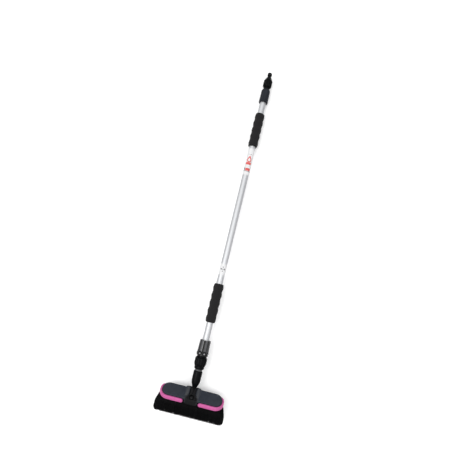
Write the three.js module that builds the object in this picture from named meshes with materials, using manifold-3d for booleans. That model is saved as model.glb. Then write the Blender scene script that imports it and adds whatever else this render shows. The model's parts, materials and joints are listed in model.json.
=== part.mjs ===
// A water-fed telescopic washing brush, lying on the ground as it rests by itself: an aluminium pole
// in two sections with two foam grips and a twist lock, a hose adaptor at one end and a brush head at
// the other. Millimetres. X runs across the brush head, Y along the pole towards the hose end, Z is up,
// and the origin is the middle of the footprint, on the ground.
//
// Everything on the pole is drawn about the pole's own Y axis, at stations counted from the middle of
// the pole, positive towards the hose end. The head is drawn in its own turned group.

import * as THREE from 'three';
import { mergeVertices } from 'three/addons/utils/BufferGeometryUtils.js';
import Module from 'manifold-3d';

const wasm = await Module();
wasm.setup();

// ---- driving dimensions ----

const GAP = 0.3; // clearance between neighbouring pieces
const ROUND = 24; // sides of the pieces turned about the pole
const SMALL_ROUND = 10; // sides of screws, holes and cutters

// pole sections
const OUTER_RADIUS = 11;
const OUTER_BORE = 10;
const OUTER_TOP = 520;
const OUTER_BOTTOM = -398;
const INNER_RADIUS = 9.3;
const INNER_BORE = 8.4;
const INNER_TOP = 455;
const INNER_BOTTOM = -440;

// hose end
const NOSE_TIP = 608;
const NOSE_RADIUS = 7.9;
const NOSE_NECK_RADIUS = 6.2;
const WATER_BORE = 4;
const BELL_RADIUS = 16.2;
const BELL_BOTTOM = 550;
const BELL_SHOULDER = 573;
const THREAD_RADIUS = 10.6;
const THREAD_ROOT = 10;
const THREAD_PITCH = 5;
const SPIGOT_TOP = 572;
const SPIGOT_BORE = 6;
const SLEEVE_TOP = 543;
const SLEEVE_BOTTOM = 486;
const SLEEVE_RADIUS = 15.8;
const BELL_FLUTES = 8;
const SLEEVE_FLUTES = 10;

// foam grips and labels
const GRIP_LENGTH = 129;
const GRIP_RADIUS = 16.5;
const GRIP_WAVE = 0.8;
const GRIP_RINGS = 5;
const UPPER_GRIP_BOTTOM = 312;
const LOWER_GRIP_BOTTOM = -316;
const LABEL_INNER = 11.1;
const LABEL_OUTER = 11.3;
const INFO_LABEL = [203, 302];
const LOCK_LABEL = [-156, -119];

// twist lock
const COLLAR_TOP = -374;
const COLLAR_BOTTOM = -424;
const COLLAR_TOP_RADIUS = 17.7;
const COLLAR_RIM_RADIUS = 18.3;
const COLLAR_CAVITY = 14.6;
const COLLAR_PANELS = 8;
const PANEL_PHASE = THREE.MathUtils.degToRad(20);
const FERRULE_RADIUS = 14.2;
const COLLET_TOP = -402;
const COLLET_BOTTOM = -416;

// brush coupling
const COUPLING_FLANGE_RADIUS = 14.3;
const COUPLING_TOP = -424.4;
const COUPLING_BOTTOM = -452;
const COUPLING_THREAD_RADIUS = 12;
const NUT_TOP = -430.4;
const NUT_BOTTOM = -466;
const NUT_RADIUS = 19;
const NUT_LOBES = 8;
const NECK_FLANGE_RADIUS = 11.8;
const NECK_STEM_RADIUS = 7.4;
const NECK_RADIUS = 13.9;
const NECK_TOP = -472;
const NECK_TAPER_TOP = -502;
const NECK_BOTTOM = -525;
const NECK_SPIGOT_RADIUS = 5.9;
const NECK_SPIGOT_BOTTOM = -532.5;
const NECK_BORE = 3.8;

// brush head, in its own frame: X across, Y to the rear, Z up out of the cover, with the origin where
// the pole's axis meets the top of the cover
const HEAD_STATION = -528.5;
const HEAD_LEAN = THREE.MathUtils.degToRad(30); // from the pole's axis to the cover's normal
const COVER_WIDTH = 192;
const COVER_REAR = 3.5;
const COVER_FRONT = -47;
const COVER_CORNER = 22;
const COVER_THICKNESS = 8;
const BLOCK_BOTTOM = -20;
const BUMPER_TOP = -3.5;
const BUMPER_BOTTOM = -16;
const BUMPER_THICKNESS = 7;
const BUMPER_GAP_WIDTH = 48;
const BUMPER_REAR_GAP_WIDTH = 180;
const BUMPER_EDGE = 1.8;
const BOSS_HALF_WIDTH = 24;
const BOSS_REAR = 6;
const BOSS_FRONT = -34;
const SPINE_RADIUS = 11.5;
const SPINE_CREST = 6.5;
const SCREW_RECESS = new THREE.Vector3(0, -38, -2);
const SCREW_LEAN = THREE.MathUtils.degToRad(22); // the recess faces up and forwards
const SCREW_RECESS_RADIUS = 8;
const BRISTLE_TIP = -65.5;
const BRISTLE_FLARE = 21;
const BRISTLE_FLARE_HEIGHT = 24;
const BRISTLE_WIDTH = 230;
const BRISTLE_REAR_WIDTH = 204;
const BRISTLE_DEPTH = 68;
const BLOCK_SCREWS = [[-74, -22], [74, -22], [-38, -22], [38, -22]];

// ---- materials ----

function plastic(color, roughness) {
  return new THREE.MeshStandardMaterial({ color, roughness, metalness: 0 });
}

function metal(color, roughness) {
  return new THREE.MeshStandardMaterial({ color, roughness, metalness: 1 });
}

const ALUMINIUM = metal(0xd9dadd, 0.35);
const STEEL = metal(0xb4b4b8, 0.3);
const BLACK_PLASTIC = plastic(0x17181a, 0.35);
const COLLAR_PLASTIC = plastic(0x34373c, 0.25);
const SLATE_PLASTIC = plastic(0x3d444f, 0.6);
const INNER_PLASTIC = plastic(0xd7d4c8, 0.5);
const RING_PLASTIC = plastic(0x8d8f92, 0.5);
const FOAM = plastic(0x101012, 0.95);
const SEAL_RUBBER = plastic(0x1c1c1e, 0.8);
const BUMPER_RUBBER = plastic(0xd662a5, 0.55);
const LABEL_FILM = plastic(0xf0eeee, 0.4);
const BRISTLE_FIBRE = plastic(0x121214, 0.8);

// ---- geometry helpers ----

// Area of an outline of [radius, station] points, positive when the outer side runs upwards
function outlineArea(points) {
  return points.reduce((sum, [x, y], i) => {
    const [nextX, nextY] = points[(i + 1) % points.length];
    return sum + (x * nextY - nextX * y) / 2;
  }, 0);
}

// A solid turned about Y from an outline of [radius, station] points, which starts and ends on the axis
// or else closes on itself
function turned(outline, sides = ROUND) {
  const ordered = outlineArea(outline) > 0 ? outline : [...outline].reverse();
  const closed = ordered[0][0] === 0 ? ordered : [...ordered, ordered[0]];
  const points = closed.map(([radius, station]) => new THREE.Vector2(radius, station));
  return new THREE.LatheGeometry(points, sides);
}

// A plain ring about Y
function ring(inner, outer, bottom, top) {
  return turned([[inner, bottom], [outer, bottom], [outer, top], [inner, top]]);
}

// A round-sectioned ring, such as an O-ring
function roundRing(radius, section, station) {
  const sides = 6;
  const outline = Array.from({ length: sides }, (_, i) => {
    const angle = (2 * Math.PI * (i + 0.5)) / sides;
    return [radius + section * Math.cos(angle), station + section * Math.sin(angle)];
  });
  return turned(outline);
}

// A cylinder along Y
function rod(radius, bottom, top, sides = SMALL_ROUND) {
  const middle = (top + bottom) / 2;
  return new THREE.CylinderGeometry(radius, radius, top - bottom, sides).translate(0, middle, 0);
}

function box(low, high) {
  const size = new THREE.Vector3(...high).sub(new THREE.Vector3(...low));
  const middle = new THREE.Vector3(...high).add(new THREE.Vector3(...low)).multiplyScalar(0.5);
  return new THREE.BoxGeometry(size.x, size.y, size.z).translate(middle.x, middle.y, middle.z);
}

function toSolid(geometry) {
  const bare = geometry.clone();
  bare.deleteAttribute('normal');
  bare.deleteAttribute('uv');
  const merged = mergeVertices(bare);
  const vertProperties = new Float32Array(merged.attributes.position.array);
  const triVerts = new Uint32Array(merged.index.array);
  return new wasm.Manifold(new wasm.Mesh({ numProp: 3, vertProperties, triVerts }));
}

function toGeometry(solid) {
  const mesh = solid.getMesh();
  const geometry = new THREE.BufferGeometry();
  geometry.setAttribute('position', new THREE.BufferAttribute(mesh.vertProperties, mesh.numProp));
  geometry.setIndex(new THREE.BufferAttribute(mesh.triVerts, 1));
  geometry.computeVertexNormals();
  return geometry;
}

function cut(body, ...tools) {
  return toGeometry(tools.reduce((solid, tool) => solid.subtract(toSolid(tool)), toSolid(body)));
}

function join(...bodies) {
  return toGeometry(bodies.slice(1).reduce((solid, body) => solid.add(toSolid(body)), toSolid(bodies[0])));
}

// Copies of one shape, evenly spaced about Y
function around(count, phase, shape) {
  return Array.from({ length: count }, (_, i) => shape().rotateY(phase + (2 * Math.PI * i) / count));
}

// Flute cutters: rods that stand outside a turned piece and bite into it
function flutes(count, phase, radius, distance, bottom, top) {
  return around(count, phase, () => rod(radius, bottom, top).translate(0, 0, distance));
}

// A rounded rectangle centred on X, between two Y values
function roundedOutline(width, front, rear, corner) {
  const left = -width / 2;
  const right = width / 2;
  const shape = new THREE.Shape();
  shape.moveTo(left + corner, front);
  shape.lineTo(right - corner, front);
  shape.absarc(right - corner, front + corner, corner, -Math.PI / 2, 0);
  shape.lineTo(right, rear - corner);
  shape.absarc(right - corner, rear - corner, corner, 0, Math.PI / 2);
  shape.lineTo(left + corner, rear);
  shape.absarc(left + corner, rear - corner, corner, Math.PI / 2, Math.PI);
  shape.lineTo(left, front + corner);
  shape.absarc(left + corner, front + corner, corner, Math.PI, 1.5 * Math.PI);
  return shape;
}

// The head's rounded outline, grown by an offset
function headOutline(offset) {
  return roundedOutline(
    COVER_WIDTH + 2 * offset, COVER_FRONT - offset, COVER_REAR + offset, COVER_CORNER + offset,
  );
}

function slab(shape, bottom, top) {
  const options = { depth: top - bottom, bevelEnabled: false, curveSegments: 4 };
  return new THREE.ExtrudeGeometry(shape, options).translate(0, 0, bottom);
}

// A slab whose edges are rounded over by the given size
function softSlab(shape, bottom, top, soft) {
  const options = {
    depth: top - bottom - 2 * soft,
    bevelEnabled: true,
    bevelThickness: soft,
    bevelSize: soft,
    bevelOffset: -soft,
    bevelSegments: 2,
    curveSegments: 4,
  };
  return new THREE.ExtrudeGeometry(shape, options).translate(0, 0, bottom + soft);
}

// ---- hose end ----

function hoseAdaptor() {
  const grooveBottom = NOSE_TIP - 7;
  const grooveTop = grooveBottom + 2.6;
  const socketTop = SPIGOT_TOP + 2.6;
  const body = turned([
    [BELL_RADIUS - 2.6, BELL_BOTTOM],
    [BELL_RADIUS, BELL_BOTTOM + 5],
    [BELL_RADIUS, BELL_SHOULDER],
    [BELL_RADIUS - 1.2, BELL_SHOULDER + 3.5],
    [NOSE_NECK_RADIUS + 1.4, NOSE_TIP - 17],
    [NOSE_NECK_RADIUS, NOSE_TIP - 15],
    [NOSE_NECK_RADIUS, NOSE_TIP - 13],
    [NOSE_RADIUS, NOSE_TIP - 9.5],
    [NOSE_RADIUS, grooveBottom],
    [NOSE_NECK_RADIUS, grooveBottom],
    [NOSE_NECK_RADIUS, grooveTop],
    [NOSE_RADIUS, grooveTop],
    [NOSE_RADIUS, NOSE_TIP - 2],
    [NOSE_RADIUS - 0.8, NOSE_TIP],
    [WATER_BORE, NOSE_TIP],
    [WATER_BORE, socketTop],
    [THREAD_RADIUS + GAP, socketTop],
    [THREAD_RADIUS + GAP, BELL_BOTTOM],
  ]);
  return cut(body, ...flutes(BELL_FLUTES, 0, 3.4, BELL_RADIUS + 1.9, BELL_BOTTOM - 5, BELL_SHOULDER + 8));
}

function noseORing() {
  return roundRing(NOSE_RADIUS - 0.2, 0.9, NOSE_TIP - 5.7);
}

function adaptorWasher() {
  return ring(SPIGOT_BORE, THREAD_RADIUS - GAP, SPIGOT_TOP + GAP, SPIGOT_TOP + 2.3);
}

// Ring crests that stand for a thread, listed from the bottom up
function threadCrests(root, crest, bottom, top) {
  const turns = Math.floor((top - bottom) / THREAD_PITCH);
  return Array.from({ length: turns }, (_, i) => bottom + i * THREAD_PITCH).flatMap((start) => [
    [root, start],
    [crest, start + 0.8],
    [crest, start + 1.5],
    [root, start + 2.3],
  ]);
}

function endSpigot() {
  const plugRadius = OUTER_BORE - GAP;
  const groove = OUTER_TOP - 12;
  return turned([
    [SPIGOT_BORE, OUTER_TOP - 22],
    [plugRadius, OUTER_TOP - 22],
    [plugRadius, groove],
    [plugRadius - 1.5, groove],
    [plugRadius - 1.5, groove + 2.8],
    [plugRadius, groove + 2.8],
    [plugRadius, OUTER_TOP + GAP],
    [OUTER_RADIUS, OUTER_TOP + GAP],
    [OUTER_RADIUS, OUTER_TOP + 6],
    [THREAD_RADIUS, OUTER_TOP + 6],
    [THREAD_RADIUS, BELL_BOTTOM],
    ...threadCrests(THREAD_ROOT, THREAD_RADIUS, BELL_BOTTOM + 2, SPIGOT_TOP),
    [THREAD_ROOT, SPIGOT_TOP],
    [SPIGOT_BORE, SPIGOT_TOP],
  ]);
}

function spigotORing() {
  return roundRing(OUTER_BORE - 0.9, 0.75, OUTER_TOP - 10.6);
}

function endSleeve() {
  const bore = OUTER_RADIUS + GAP;
  const neckBore = THREAD_RADIUS + GAP;
  const step = OUTER_TOP + 6 + GAP;
  const body = turned([
    [bore, SLEEVE_BOTTOM],
    [SLEEVE_RADIUS - 0.4, SLEEVE_BOTTOM],
    [SLEEVE_RADIUS + 0.5, SLEEVE_BOTTOM + 2],
    [SLEEVE_RADIUS, SLEEVE_TOP - 6],
    [SLEEVE_RADIUS - 3.4, SLEEVE_TOP],
    [neckBore, SLEEVE_TOP],
    [neckBore, step],
    [bore, step],
  ]);
  const bite = flutes(SLEEVE_FLUTES, 0, 5, SLEEVE_RADIUS + 4.2, SLEEVE_BOTTOM + 6, SLEEVE_TOP - 8);
  return cut(body, ...bite);
}

// ---- grips and labels ----

function foamGrip(bottom) {
  const steps = 2 * GRIP_RINGS;
  const endRound = 3;
  const wavy = Array.from({ length: steps + 1 }, (_, i) => {
    const along = i / steps;
    const wave = GRIP_WAVE * Math.cos(2 * Math.PI * GRIP_RINGS * along);
    return [GRIP_RADIUS - wave, bottom + endRound + (GRIP_LENGTH - 2 * endRound) * along];
  });
  const inner = OUTER_RADIUS + 0.2;
  const ends = GRIP_RADIUS - 2.4;
  return turned([
    [inner, bottom],
    [ends, bottom],
    ...wavy,
    [ends, bottom + GRIP_LENGTH],
    [inner, bottom + GRIP_LENGTH],
  ]);
}

function wrapLabel([bottom, top]) {
  return ring(LABEL_INNER, LABEL_OUTER, bottom, top);
}

// ---- twist lock ----

function collarFerrule() {
  const bottom = OUTER_BOTTOM - 9;
  return turned([
    [FERRULE_RADIUS - 0.8, bottom],
    [FERRULE_RADIUS, bottom],
    [FERRULE_RADIUS, OUTER_BOTTOM + 14],
    [OUTER_RADIUS + GAP, OUTER_BOTTOM + 14],
    [OUTER_RADIUS + GAP, COLLET_TOP],
  ]);
}

function guideBush() {
  return ring(INNER_RADIUS + 0.4, OUTER_RADIUS, OUTER_BOTTOM - 3.5, OUTER_BOTTOM - GAP);
}

function lockCollarBore() {
  const tubeBore = OUTER_RADIUS + 0.4;
  const lipBore = INNER_RADIUS + 0.9;
  return turned([
    [0, COLLAR_BOTTOM - 1],
    [lipBore, COLLAR_BOTTOM - 1],
    [lipBore, COLLAR_BOTTOM + 4],
    [COLLAR_CAVITY, COLLAR_BOTTOM + 4],
    [COLLAR_CAVITY, COLLAR_TOP - 5.5],
    [tubeBore, COLLAR_TOP - 5.5],
    [tubeBore, COLLAR_TOP + 1],
    [0, COLLAR_TOP + 1],
  ]);
}

function lockCollar() {
  const body = turned([
    [0, COLLAR_BOTTOM],
    [COLLAR_RIM_RADIUS - 1.6, COLLAR_BOTTOM],
    [COLLAR_RIM_RADIUS, COLLAR_BOTTOM + 3],
    [COLLAR_RIM_RADIUS, COLLAR_BOTTOM + 12],
    [COLLAR_TOP_RADIUS, COLLAR_TOP - 1],
    [COLLAR_TOP_RADIUS - 0.8, COLLAR_TOP],
    [0, COLLAR_TOP],
  ]);
  const betweenPanels = PANEL_PHASE + Math.PI / COLLAR_PANELS;
  const grooveDistance = COLLAR_RIM_RADIUS + 0.4;
  const grooveBottom = COLLAR_BOTTOM + 9;
  const grooves = flutes(COLLAR_PANELS, betweenPanels, 1.5, grooveDistance, grooveBottom, COLLAR_TOP + 1);
  const balls = around(COLLAR_PANELS, PANEL_PHASE, () =>
    new THREE.SphereGeometry(4.4, 10, 6).translate(0, COLLAR_BOTTOM + 7, COLLAR_RIM_RADIUS - 3.6));
  return cut(join(cut(body, ...grooves), ...balls), lockCollarBore());
}

function collet() {
  const bore = INNER_RADIUS + 0.2;
  const flange = COLLAR_CAVITY - 0.8;
  const seatBottom = COLLET_TOP - 6;
  const body = turned([
    [bore, COLLET_BOTTOM],
    [flange, COLLET_BOTTOM],
    [flange, seatBottom],
    [FERRULE_RADIUS - 1.6, seatBottom],
    [OUTER_RADIUS - 0.4, COLLET_TOP],
    [bore, COLLET_TOP],
  ]);
  return cut(body, box([-0.8, COLLET_BOTTOM - 1, 0], [0.8, COLLET_TOP + 1, 20]));
}

// ---- inner section ----

function innerTube() {
  return ring(INNER_BORE, INNER_RADIUS, INNER_BOTTOM, INNER_TOP);
}

function piston() {
  const plug = INNER_BORE - GAP;
  const head = OUTER_BORE - 0.4;
  const bore = 5;
  return turned([
    [bore, INNER_TOP - 15],
    [plug, INNER_TOP - 15],
    [plug, INNER_TOP + GAP],
    [head, INNER_TOP + GAP],
    [head, INNER_TOP + 5],
    [head - 1.6, INNER_TOP + 5],
    [head - 1.6, INNER_TOP + 8.5],
    [head, INNER_TOP + 8.5],
    [head, INNER_TOP + 14],
    [bore, INNER_TOP + 14],
  ]);
}

function pistonSeal() {
  return ring(OUTER_BORE - 1.8, OUTER_BORE - 0.2, INNER_TOP + 5.2, INNER_TOP + 8.3);
}

function couplingBody() {
  const socket = INNER_RADIUS + GAP;
  const socketBottom = INNER_BOTTOM - 2;
  return turned([
    [SPIGOT_BORE, COUPLING_BOTTOM],
    [COUPLING_THREAD_RADIUS, COUPLING_BOTTOM],
    [COUPLING_THREAD_RADIUS, NUT_TOP + 0.6],
    [COUPLING_FLANGE_RADIUS, NUT_TOP + 0.6],
    [COUPLING_FLANGE_RADIUS, COUPLING_TOP],
    [socket, COUPLING_TOP],
    [socket, socketBottom],
    [SPIGOT_BORE, socketBottom],
  ]);
}

function tubeEndSeal() {
  return ring(SPIGOT_BORE + GAP, INNER_RADIUS, INNER_BOTTOM - 1.7, INNER_BOTTOM - GAP);
}

function couplingNut() {
  const bore = COUPLING_THREAD_RADIUS + 0.4;
  const lipBore = NECK_STEM_RADIUS + 0.5;
  const lipTop = NUT_BOTTOM + 7.8;
  const body = turned([
    [lipBore, NUT_BOTTOM],
    [NUT_RADIUS - 4.6, NUT_BOTTOM],
    [NUT_RADIUS - 3.4, NUT_BOTTOM + 1.5],
    [NUT_RADIUS - 3, NUT_BOTTOM + 7],
    [NUT_RADIUS, NUT_BOTTOM + 17],
    [NUT_RADIUS, NUT_TOP - 1.8],
    [NUT_RADIUS - 1.2, NUT_TOP],
    [bore, NUT_TOP],
    [bore, lipTop],
    [lipBore, lipTop],
  ]);
  const phase = PANEL_PHASE + Math.PI / NUT_LOBES;
  return cut(body, ...flutes(NUT_LOBES, phase, 3, NUT_RADIUS + 1.6, NUT_BOTTOM + 5, NUT_TOP + 1));
}

// ---- brush neck ----

function brushNeck() {
  const flangeTop = COUPLING_BOTTOM - 3;
  const grooveTop = NECK_BOTTOM - 4;
  const grooveRadius = NECK_SPIGOT_RADIUS - 1;
  return turned([
    [NECK_BORE, NECK_SPIGOT_BOTTOM],
    [NECK_SPIGOT_RADIUS, NECK_SPIGOT_BOTTOM],
    [NECK_SPIGOT_RADIUS, grooveTop - 2.2],
    [grooveRadius, grooveTop - 2.2],
    [grooveRadius, grooveTop],
    [NECK_SPIGOT_RADIUS, grooveTop],
    [NECK_SPIGOT_RADIUS, NECK_BOTTOM],
    [NECK_STEM_RADIUS, NECK_BOTTOM],
    [NECK_STEM_RADIUS + 0.2, NECK_BOTTOM + 3],
    [NECK_STEM_RADIUS + 1.8, NECK_BOTTOM + 7],
    [NECK_RADIUS - 1.6, NECK_TAPER_TOP - 8],
    [NECK_RADIUS, NECK_TAPER_TOP],
    [NECK_RADIUS, NECK_TOP - 1.5],
    [NECK_RADIUS - 1, NECK_TOP],
    [NECK_STEM_RADIUS, NECK_TOP],
    [NECK_STEM_RADIUS, flangeTop - 2.8],
    [NECK_FLANGE_RADIUS, flangeTop - 2.8],
    [NECK_FLANGE_RADIUS, flangeTop],
    [NECK_BORE, flangeTop],
  ]);
}

function neckSeal() {
  return ring(SPIGOT_BORE, NECK_FLANGE_RADIUS - GAP, COUPLING_BOTTOM - 2.6, COUPLING_BOTTOM - 0.4);
}

function neckRing() {
  return ring(NECK_STEM_RADIUS + GAP, NECK_STEM_RADIUS + 2.4, NECK_TOP + GAP, NUT_BOTTOM - 0.4);
}

function hubORing() {
  return roundRing(NECK_SPIGOT_RADIUS - 0.35, 0.5, NECK_BOTTOM - 5.1);
}

// ---- brush head ----

// A shape drawn about the pole, carried into the head's frame
function inHead(geometry) {
  return geometry.translate(0, -HEAD_STATION, 0).rotateX(Math.PI / 2 - HEAD_LEAN);
}

// A shape drawn about Y, stood on the screw's leaning axis
function onScrewAxis(geometry) {
  const { x, y, z } = SCREW_RECESS;
  return geometry.rotateX(Math.PI / 2 + SCREW_LEAN).translate(x, y, z);
}

// The space that the lower end of the neck takes up in the cover
function neckSocket() {
  return turned([
    [0, NECK_SPIGOT_BOTTOM - 1],
    [NECK_SPIGOT_RADIUS + GAP, NECK_SPIGOT_BOTTOM - 1],
    [NECK_SPIGOT_RADIUS + GAP, NECK_BOTTOM - GAP],
    [NECK_STEM_RADIUS + GAP, NECK_BOTTOM - GAP],
    [NECK_STEM_RADIUS + 0.2 + GAP, NECK_BOTTOM + 3],
    [NECK_STEM_RADIUS + 1.8 + GAP, NECK_BOTTOM + 7],
    [NECK_RADIUS - 1.6 + GAP, NECK_TAPER_TOP - 8],
    [NECK_RADIUS + GAP, NECK_TAPER_TOP],
    [NECK_RADIUS + GAP, NECK_TOP],
    [0, NECK_TOP],
  ]);
}

// Two cheeks and the valley between them, drawn across the head and run from front to rear
function bossCheeks() {
  const crest = 4;
  const shape = new THREE.Shape([
    new THREE.Vector2(-BOSS_HALF_WIDTH, -1),
    new THREE.Vector2(BOSS_HALF_WIDTH, -1),
    new THREE.Vector2(BOSS_HALF_WIDTH - 4, crest - 1),
    new THREE.Vector2(SPINE_RADIUS + 4, crest),
    new THREE.Vector2(SPINE_RADIUS + 1, crest),
    new THREE.Vector2(SPINE_RADIUS - 1, crest - 3),
    new THREE.Vector2(1 - SPINE_RADIUS, crest - 3),
    new THREE.Vector2(-SPINE_RADIUS - 1, crest),
    new THREE.Vector2(-SPINE_RADIUS - 4, crest),
    new THREE.Vector2(4 - BOSS_HALF_WIDTH, crest - 1),
  ]);
  const length = BOSS_REAR - BOSS_FRONT - 2;
  const run = new THREE.ExtrudeGeometry(shape, { depth: length, bevelEnabled: false });
  return run.rotateX(Math.PI / 2).translate(0, BOSS_REAR - 1, 0);
}

function spine() {
  const bar = rod(SPINE_RADIUS, BOSS_FRONT, BOSS_REAR, 16).translate(0, 0, SPINE_CREST - SPINE_RADIUS);
  return cut(bar, box([-50, -100, -50], [50, 100, 1 - COVER_THICKNESS]));
}

// A tongue that comes down over the front or the rear, between the bumpers' ends
function tongue(from, to, top) {
  const shape = roundedOutline(BUMPER_GAP_WIDTH - 6, BUMPER_BOTTOM - 1, top, 8);
  const run = new THREE.ExtrudeGeometry(shape, { depth: to - from, bevelEnabled: false, curveSegments: 4 });
  return run.rotateX(Math.PI / 2).translate(0, to, 0);
}

function screwTurret() {
  const turret = onScrewAxis(rod(SCREW_RECESS_RADIUS + 4, -4, 6, 16));
  return cut(turret, box([-50, -100, -50], [50, 100, 1 - COVER_THICKNESS]));
}

function screwHoles(radius, bottom, top) {
  return BLOCK_SCREWS.map(([x, y]) => rod(radius, bottom, top).rotateX(Math.PI / 2).translate(x, y, 0));
}

function topCover() {
  const plate = softSlab(headOutline(0), -COVER_THICKNESS, 0, 2);
  const front = tongue(COVER_FRONT - 6, COVER_FRONT + 1 - GAP, 2);
  const rear = tongue(COVER_REAR - 1 + GAP, COVER_REAR + 6.5, 0);
  const body = join(plate, bossCheeks(), spine(), screwTurret(), front, rear);
  return cut(
    body,
    onScrewAxis(rod(SCREW_RECESS_RADIUS, -1, 20, 16)),
    onScrewAxis(rod(2.3, -30, 5)),
    inHead(neckSocket()),
    inHead(rod(NECK_BORE, NECK_SPIGOT_BOTTOM - 24, NECK_SPIGOT_BOTTOM)),
    ...screwHoles(1.9, -COVER_THICKNESS - 1, -3),
  );
}

function sealOutline(offset) {
  return roundedOutline(44 + 2 * offset, -20 - offset, 0.3 + offset, 5 + offset);
}

function sealTrack(spread, bottom, top) {
  return cut(slab(sealOutline(spread), bottom, top), slab(sealOutline(-spread), bottom - 1, top + 1));
}

function chamberSeal() {
  const top = -COVER_THICKNESS - GAP;
  return sealTrack(0.9, top - 1.2, top);
}

function waterOutlets() {
  return [-12, 0, 12].map((x) => rod(2, -40, 0).rotateX(Math.PI / 2).translate(x, -6, 0));
}

function brushBlock() {
  const top = -COVER_THICKNESS - GAP;
  return cut(
    slab(headOutline(-1), BLOCK_BOTTOM, top),
    sealTrack(1.2, top - 1.5, top + 1),
    slab(sealOutline(-3), top - 3, top + 1),
    ...waterOutlets(),
    ...screwHoles(1.9, BLOCK_BOTTOM - 1, top + 1),
    ...screwHoles(3.8, BLOCK_BOTTOM - 1, BLOCK_BOTTOM + 3),
    onScrewAxis(rod(2.5, -30, 5)),
  );
}

function blockScrew([x, y]) {
  const screw = turned([
    [0, BLOCK_BOTTOM + 0.6],
    [3.4, BLOCK_BOTTOM + 0.6],
    [3.4, BLOCK_BOTTOM + 2.6],
    [1.6, BLOCK_BOTTOM + 2.7],
    [1.6, -4],
    [0, -3.4],
  ], SMALL_ROUND);
  return screw.rotateX(Math.PI / 2).translate(x, y, 0);
}

function hubScrew() {
  const screw = turned([
    [0, -12],
    [2, -11],
    [2, -0.6],
    [4.6, -0.6],
    [4.6, 1],
    [3.4, 2],
    [0, 2],
  ], SMALL_ROUND);
  const slots = [0, Math.PI / 2].map((turn) => box([-0.5, 1, -2.4], [0.5, 3, 2.4]).rotateY(turn));
  return onScrewAxis(cut(screw, ...slots));
}

// The bumper on one side of the head, -1 for left and 1 for right, from the front round to the rear
// corner
function bumper(side) {
  const below = BUMPER_BOTTOM - 1;
  const above = BUMPER_TOP + 1;
  const middle = (COVER_FRONT + COVER_REAR) / 2;
  const halfRearGap = BUMPER_REAR_GAP_WIDTH / 2;
  const [left, right] = [-side * COVER_WIDTH, side * BUMPER_GAP_WIDTH / 2].sort((a, b) => a - b);
  return cut(
    softSlab(headOutline(BUMPER_THICKNESS), BUMPER_BOTTOM, BUMPER_TOP, BUMPER_EDGE),
    slab(headOutline(GAP), below, above),
    box([left, 2 * COVER_FRONT, below], [right, COVER_WIDTH, above]),
    box([-halfRearGap, middle, below], [halfRearGap, COVER_WIDTH, above]),
  );
}

// Narrows a shape steadily from the front to the rear, down to a share of its width
function narrow(geometry, front, rear, share) {
  const places = geometry.attributes.position;
  for (let i = 0; i < places.count; i++) {
    const along = (places.getY(i) - front) / (rear - front);
    places.setX(i, places.getX(i) * (1 + (share - 1) * along));
  }
}

// The bristles spread as they leave the block and then run nearly straight to their tips. They spread
// less from front to rear than across the head, and less at the rear than at the front.
function bristles() {
  const root = BLOCK_BOTTOM - GAP;
  const rootDepth = COVER_REAR - COVER_FRONT - 10;
  const depthShare = (BRISTLE_DEPTH - rootDepth) / (2 * BRISTLE_FLARE);
  const middle = (COVER_REAR + COVER_FRONT) / 2;
  const halfDepth = BRISTLE_DEPTH / depthShare / 2;
  const outline = roundedOutline(BRISTLE_WIDTH, -halfDepth, halfDepth, BRISTLE_FLARE + 1);
  const options = {
    depth: root - BRISTLE_TIP - BRISTLE_FLARE_HEIGHT,
    bevelEnabled: true,
    bevelThickness: BRISTLE_FLARE_HEIGHT,
    bevelSize: BRISTLE_FLARE,
    bevelOffset: -BRISTLE_FLARE,
    bevelSegments: 4,
    curveSegments: 4,
  };
  const flared = new THREE.ExtrudeGeometry(outline, options);
  flared.scale(1, depthShare, 1).translate(0, middle, BRISTLE_TIP);
  const halfSpread = BRISTLE_DEPTH / 2;
  narrow(flared, middle - halfSpread, middle + halfSpread, BRISTLE_REAR_WIDTH / BRISTLE_WIDTH);
  return cut(flared, box([-200, -200, BRISTLE_TIP - 60], [200, 200, BRISTLE_TIP]));
}

// ---- assembly ----

function piece(parent, name, geometry, material) {
  const mesh = new THREE.Mesh(geometry, material);
  mesh.name = name;
  parent.add(mesh);
}

function addHoseEnd(pole) {
  piece(pole, 'hose_adaptor', hoseAdaptor(), BLACK_PLASTIC);
  piece(pole, 'nose_o_ring', noseORing(), SEAL_RUBBER);
  piece(pole, 'adaptor_washer', adaptorWasher(), SEAL_RUBBER);
  piece(pole, 'end_spigot', endSpigot(), BLACK_PLASTIC);
  piece(pole, 'spigot_o_ring', spigotORing(), SEAL_RUBBER);
  piece(pole, 'end_sleeve', endSleeve(), SLATE_PLASTIC);
}

function addOuterSection(pole) {
  piece(pole, 'outer_tube', ring(OUTER_BORE, OUTER_RADIUS, OUTER_BOTTOM, OUTER_TOP), ALUMINIUM);
  piece(pole, 'upper_grip', foamGrip(UPPER_GRIP_BOTTOM), FOAM);
  piece(pole, 'lower_grip', foamGrip(LOWER_GRIP_BOTTOM), FOAM);
  piece(pole, 'info_label', wrapLabel(INFO_LABEL), LABEL_FILM);
  piece(pole, 'lock_label', wrapLabel(LOCK_LABEL), LABEL_FILM);
}

function addTwistLock(pole) {
  piece(pole, 'collar_ferrule', collarFerrule(), INNER_PLASTIC);
  piece(pole, 'guide_bush', guideBush(), INNER_PLASTIC);
  piece(pole, 'lock_collar', lockCollar(), COLLAR_PLASTIC);
  piece(pole, 'collet', collet(), INNER_PLASTIC);
}

function addInnerSection(pole) {
  piece(pole, 'inner_tube', innerTube(), ALUMINIUM);
  piece(pole, 'piston', piston(), INNER_PLASTIC);
  piece(pole, 'piston_seal', pistonSeal(), SEAL_RUBBER);
  piece(pole, 'coupling_body', couplingBody(), BLACK_PLASTIC);
  piece(pole, 'tube_end_seal', tubeEndSeal(), SEAL_RUBBER);
  piece(pole, 'coupling_nut', couplingNut(), BLACK_PLASTIC);
}

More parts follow.
